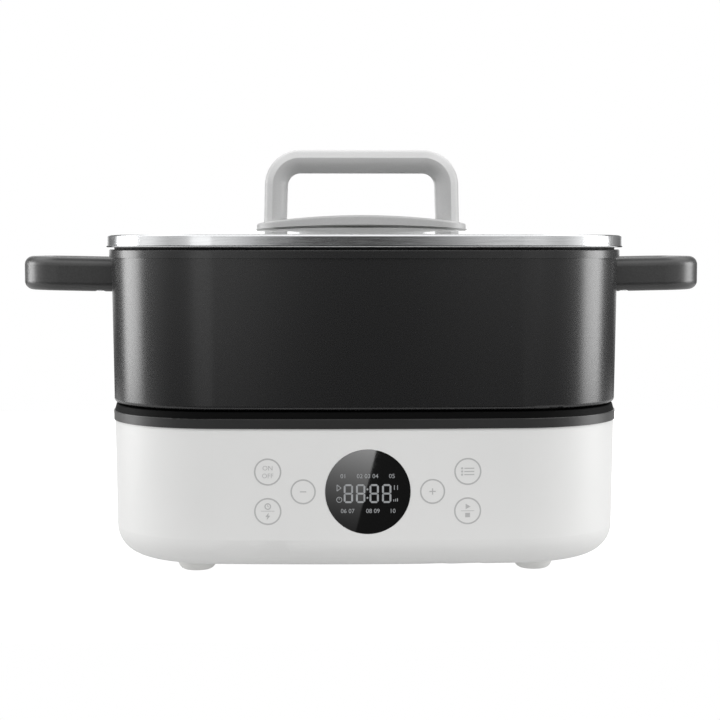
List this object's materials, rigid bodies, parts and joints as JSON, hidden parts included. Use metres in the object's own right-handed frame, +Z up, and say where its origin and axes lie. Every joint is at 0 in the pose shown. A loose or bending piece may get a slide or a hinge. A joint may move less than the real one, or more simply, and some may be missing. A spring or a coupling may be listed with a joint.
{
  "type": "electric hot pot with lid",
  "caption": "Countertop electric hot pot: a square heating base with a touch panel, a lift-off cast pot with two loop handles, and a steel-banded glass lid with a bridge handle.",
  "frame": {"origin": "centre of the footprint, at the level the feet stand on", "axes": "+X to the right along the line of the two pot handles, +Y to the back where the mains inlet is, +Z up"},
  "size_m": [0.4056, 0.2986, 0.241],
  "materials": {
    "housing_white": "fine satin moulded",
    "foot_rubber": "matt moulded",
    "deck_black": "semi-gloss moulded",
    "trim_charcoal": "matt moulded",
    "seal_black": "matt",
    "cast_aluminium": "turned",
    "element_steel": "annealed",
    "seal_silicone": "matt",
    "reflector_steel": "pressed",
    "screw_steel": "zinc plated",
    "spring_steel": "plated",
    "sensor_aluminium": "pressed",
    "circuit_board": "solder resist",
    "component_plastic": "moulded",
    "transformer_iron": "ferrite core",
    "contact_brass": "plated",
    "lead_silicone": "sleeved",
    "ribbon_sheath": "flat cable",
    "inlet_black": "moulded",
    "window_black": "polished",
    "pot_coating": "dark non-stick coating with a fine speckle",
    "handle_phenolic": "satin moulded",
    "band_steel": "polished rolled band",
    "lid_clear_glass": "tempered, polished",
    "grip_grey": "satin moulded"
  },
  "bodies": {
    "base": {"base_housing": "housing_white", "foot_front_left": "foot_rubber", "foot_front_right": "foot_rubber", "foot_rear_left": "foot_rubber", "foot_rear_right": "foot_rubber", "trim_ring": "trim_charcoal", "deck_ring": "deck_black", "deck_screws": "screw_steel", "heating_plate": "cast_aluminium", "heating_element": "element_steel", "plate_seal": "seal_silicone", "heat_reflector": "reflector_steel", "plate_screws": "screw_steel", "reflector_screws": "screw_steel", "sensor_guide": "reflector_steel", "sensor_spring": "spring_steel", "thermal_fuse": "element_steel", "power_board": "circuit_board", "relay": "component_plastic", "transformer": "transformer_iron", "filter_capacitor": "component_plastic", "board_tabs": "contact_brass", "board_screws": "screw_steel", "element_leads": "lead_silicone", "mains_leads": "lead_silicone", "power_inlet": "inlet_black", "inlet_pins": "contact_brass", "inlet_screws": "screw_steel", "display_window": "window_black", "control_board": "circuit_board", "display_module": "component_plastic", "touch_springs": "spring_steel", "buzzer": "component_plastic", "panel_screws": "screw_steel", "ribbon_cable": "ribbon_sheath"},
    "sensor": {"sensor_cap": "sensor_aluminium"},
    "pot": {"pot_shell": "pot_coating", "left_handle": "handle_phenolic", "right_handle": "handle_phenolic", "handle_screws": "screw_steel"},
    "lid": {"lid_rim": "band_steel", "lid_seal": "seal_black", "rim_gasket": "seal_silicone", "lid_glass": "lid_clear_glass", "steam_vent": "band_steel", "handle_saddle": "grip_grey", "saddle_gasket": "seal_silicone", "lid_handle": "grip_grey", "handle_washers": "seal_silicone", "lid_screws": "screw_steel"}
  },
  "joints": [
    {"name": "pot_lift", "type": "slide", "parent": "base", "child": "pot", "axis": [0, 0, 1], "range_m": [0, 0.12]},
    {"name": "lid_lift", "type": "slide", "parent": "pot", "child": "lid", "axis": [0, 0, 1], "range_m": [0, 0.12]},
    {"name": "sensor_rise", "type": "slide", "parent": "base", "child": "sensor", "axis": [0, 0, 1], "range_m": [0, 0.002], "deforming": ["sensor_spring"]}
  ],
  "couplings": [
    {"joint": "sensor_rise", "follows": "pot_lift", "ratio": 0.016667}
  ]
}
